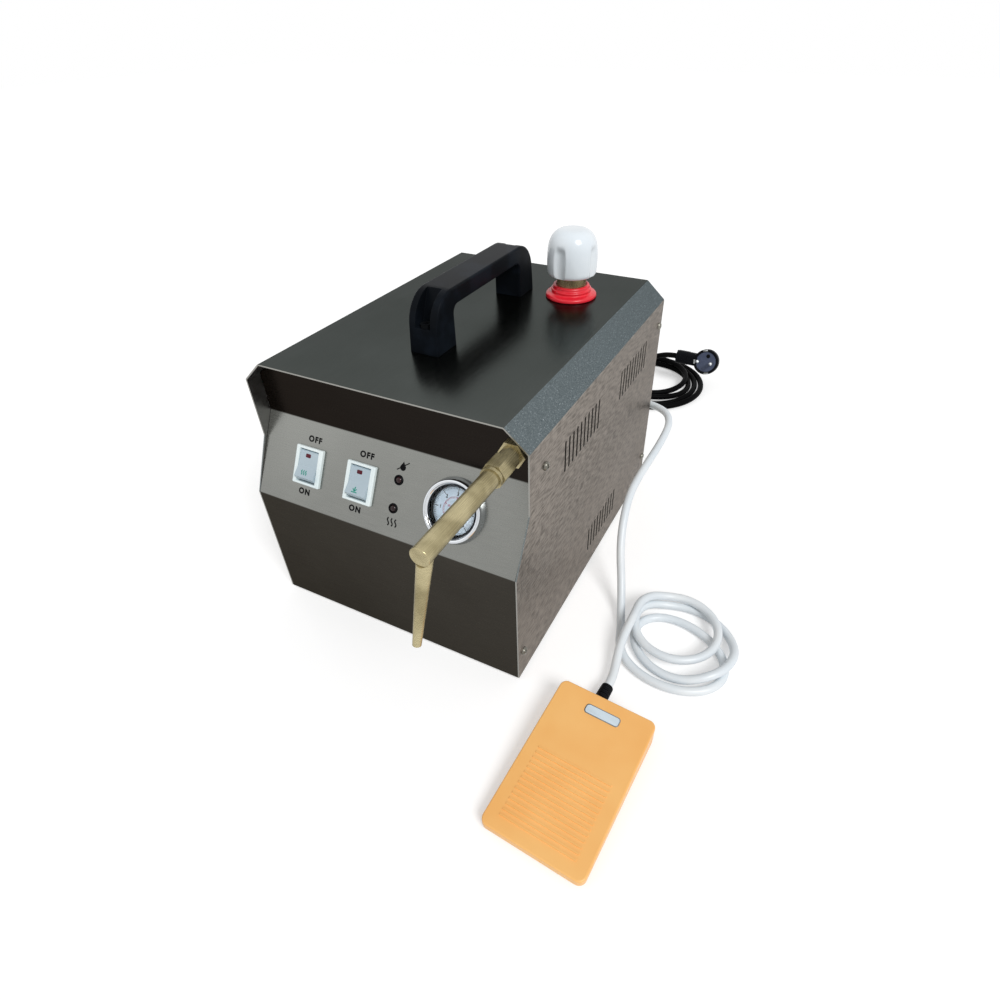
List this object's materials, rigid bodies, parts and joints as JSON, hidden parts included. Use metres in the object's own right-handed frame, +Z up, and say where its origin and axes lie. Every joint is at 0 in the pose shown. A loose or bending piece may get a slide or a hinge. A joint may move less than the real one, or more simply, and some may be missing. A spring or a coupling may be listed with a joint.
{
  "type": "jewelry steam cleaner",
  "caption": "Steel steam cleaner with slanted console, swivelling steam nozzle, screw filler cap, bow handle, coiled mains cord and corded foot switch.",
  "frame": {"origin": "on the floor under the middle of the casing, at the level of the feet's undersides", "axes": "+X to the operator's right, +Y from the console to the rear, +Z up"},
  "size_m": [0.4344, 0.7944, 0.3018],
  "materials": {
    "sheet_steel": "brushed",
    "dark_plastic": "matte",
    "black_gloss": "gloss",
    "white_plastic": "gloss",
    "orange_plastic": "gloss",
    "chrome": "polished",
    "screw_steel": "polished",
    "brass": "satin",
    "red_rubber": "matte",
    "black_rubber": "matte",
    "boiler_steel": "satin",
    "dial": "matte",
    "glass": "clear",
    "lamp": "gloss",
    "white_cord": "matte"
  },
  "bodies": {
    "casing": {"base_tray": "sheet_steel", "boiler_saddles": "boiler_steel", "boiler_shell": "boiler_steel", "carry_handle": "dark_plastic", "cover": "sheet_steel", "cover_screws": "screw_steel", "feet": "black_rubber", "filler_gasket": "red_rubber", "filler_neck": "brass", "fitting_locknut": "brass", "foot_screws": "screw_steel", "front_panel": "sheet_steel", "gauge_bezel": "chrome", "gauge_case": "brass", "gauge_dial": "dial", "gauge_lens": "glass", "handle_screws": "screw_steel", "heat_switch": "white_plastic", "heater_bolts": "screw_steel", "heater_flange": "boiler_steel", "heater_rod": "boiler_steel", "lamp_sleeves": "dark_plastic", "level_probe": "brass", "mains_cord": "black_rubber", "mains_cord_coil": "black_rubber", "mains_gland": "dark_plastic", "mains_plug": "black_gloss", "nozzle_fitting": "brass", "pedal_base": "orange_plastic", "pedal_cord": "white_cord", "pedal_cord_coil": "white_cord", "pedal_gland": "dark_plastic", "pedal_microswitch": "dark_plastic", "pedal_pads": "black_rubber", "pedal_pin": "screw_steel", "pedal_relief": "dark_plastic", "pedal_spring": "screw_steel", "plug_pins": "brass", "power_switch": "white_plastic", "pressure_switch": "dark_plastic", "rear_panel": "sheet_steel", "relay": "dark_plastic", "safety_valve": "brass", "steam_lamp": "lamp", "steam_outlet": "brass", "steam_pipe": "brass", "terminal_block": "dark_plastic", "union_nut": "brass", "valve_body": "brass", "valve_coil": "dark_plastic", "water_lamp": "lamp"},
    "power_key": {"power_rocker": "white_plastic"},
    "heat_key": {"heat_rocker": "white_plastic"},
    "pointer": {"gauge_needle": "black_gloss"},
    "nozzle": {"nozzle_arm": "brass", "nozzle_tip": "brass"},
    "cap_seal": {"cap_washer": "red_rubber"},
    "cap": {"filler_cap": "white_plastic", "cap_stem": "brass"},
    "treadle": {"pedal_top": "orange_plastic"}
  },
  "joints": [
    {"name": "power_press", "type": "hinge", "parent": "casing", "child": "power_key", "pos_m": [-0.0778, -0.14708, 0.15364], "axis": [1, 0, 0], "range_deg": [0, 20]},
    {"name": "heat_press", "type": "hinge", "parent": "casing", "child": "heat_key", "pos_m": [-0.0234, -0.14708, 0.15364], "axis": [1, 0, 0], "range_deg": [0, 20]},
    {"name": "gauge_turn", "type": "hinge", "parent": "casing", "child": "pointer", "pos_m": [0.0675, -0.14955, 0.15737], "axis": [0, 0.8667, -0.4988], "range_deg": [0, 270], "stiffness_Nm_per_rad": 0.0002},
    {"name": "nozzle_swivel", "type": "hinge", "parent": "casing", "child": "nozzle", "pos_m": [0.112, -0.16, 0.2145], "axis": [0, -1, 0], "range_deg": [-90, 90]},
    {"name": "cap_lift", "type": "slide", "parent": "casing", "child": "cap_seal", "axis": [0, 0, 1], "range_m": [0, 0.012]},
    {"name": "cap_unscrew", "type": "hinge", "parent": "cap_seal", "child": "cap", "pos_m": [0.056, 0.09725, 0.2615], "axis": [0, 0, 1], "range_deg": [0, 1440]},
    {"name": "pedal_press", "type": "hinge", "parent": "casing", "child": "treadle", "pos_m": [0.20267, -0.28765, 0.0065], "axis": [-0.9971, 0.0767, 0], "range_deg": [0, 2.2], "stiffness_Nm_per_rad": 6, "springref_deg": -1.72, "deforming": ["pedal_spring"]}
  ],
  "couplings": [
    {"joint": "cap_unscrew", "follows": "cap_lift", "rad_per_m": 2094.4}
  ]
}
